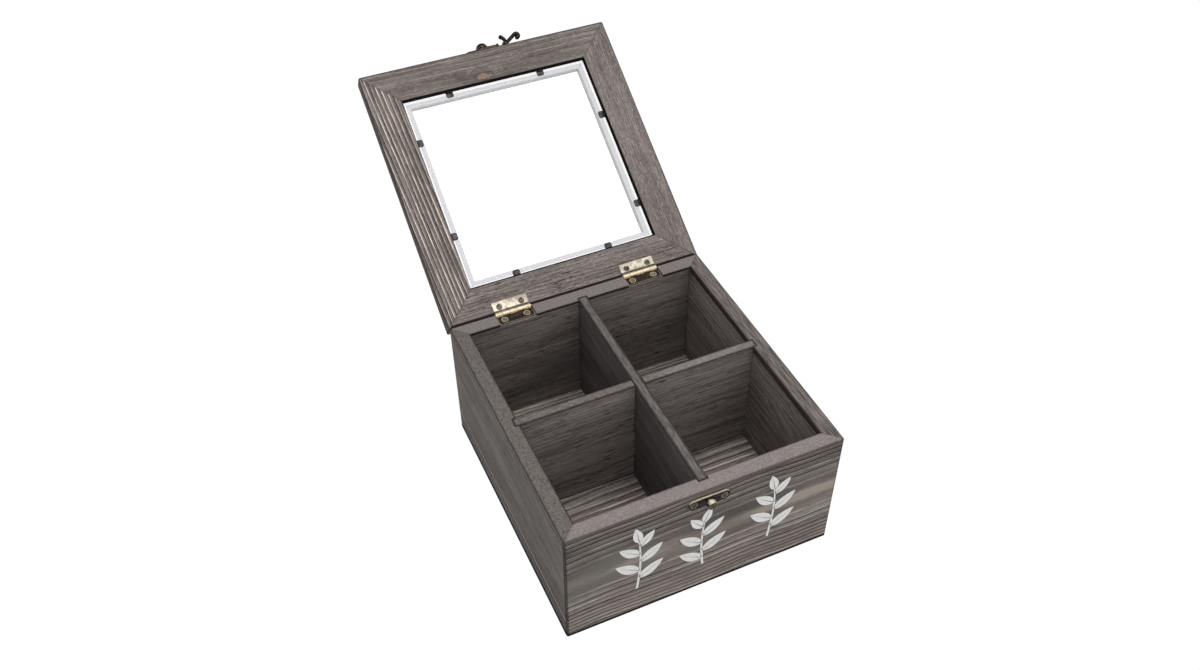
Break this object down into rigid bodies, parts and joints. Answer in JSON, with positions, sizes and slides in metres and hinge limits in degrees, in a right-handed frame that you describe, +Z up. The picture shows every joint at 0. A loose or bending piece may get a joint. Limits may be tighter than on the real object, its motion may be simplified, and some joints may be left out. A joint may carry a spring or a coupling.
{
  "type": "tea bag organizer box",
  "caption": "Square wooden box with four compartments, a hinged lid with a glass window, and a swing hook that drops over a post on the front.",
  "frame": {"origin": "middle of the underside of the case, on the surface it stands on", "axes": "+Z up, front of the case faces -Y, hinges at +Y, +X to the right seen from the front"},
  "size_m": [0.171, 0.3408, 0.1815],
  "materials": {
    "wood_case": "weathered grey-brown stain, satin",
    "wood_floor": "weathered brown stain, matt",
    "wood_divider": "weathered grey-brown stain, matt",
    "wood_lid": "weathered grey-brown stain, satin",
    "bedding": "matt",
    "glass": "clear",
    "point_steel": "dark zinc",
    "hinge_dark": "antique",
    "hinge_pin": "antique",
    "hinge_brass": "pale antique",
    "screw": "antique",
    "latch_screw": "dark antique",
    "latch_bronze": "dark antique bronze",
    "catch_brass": "worn antique brass",
    "paint": "off-white paint, matt"
  },
  "bodies": {
    "case": {"front_wall": "wood_case", "back_wall": "wood_case", "left_wall": "wood_case", "right_wall": "wood_case", "base_panel": "wood_floor", "long_divider": "wood_divider", "cross_divider": "wood_divider", "left_hinge_box_leaf": "hinge_dark", "right_hinge_box_leaf": "hinge_dark", "left_hinge_pin": "hinge_pin", "right_hinge_pin": "hinge_pin", "box_hinge_screws": "screw", "catch_plate": "latch_bronze", "catch_post": "catch_brass", "catch_screws": "latch_screw"},
    "lid": {"lid_front_rail": "wood_lid", "lid_back_rail": "wood_lid", "lid_left_rail": "wood_lid", "lid_right_rail": "wood_lid", "glass_bedding": "bedding", "glass_pane": "glass", "glazing_points": "point_steel", "left_hinge_lid_leaf": "hinge_brass", "right_hinge_lid_leaf": "hinge_brass", "lid_hinge_screws": "screw", "latch_screws": "latch_screw", "latch_plate": "latch_bronze", "latch_pivot": "latch_bronze"},
    "hook": {"latch_hook": "latch_bronze"}
  },
  "joints": [
    {"name": "lid_hinge", "type": "hinge", "parent": "case", "child": "lid", "pos_m": [0, 0.08777, 0.087], "axis": [1, 0, 0], "range_deg": [0, 147.95]},
    {"name": "hook_swing", "type": "hinge", "parent": "lid", "child": "hook", "pos_m": [0, 0.23945, 0.17594], "axis": [0, -0.848, -0.5299], "range_deg": [-90, 90]}
  ]
}
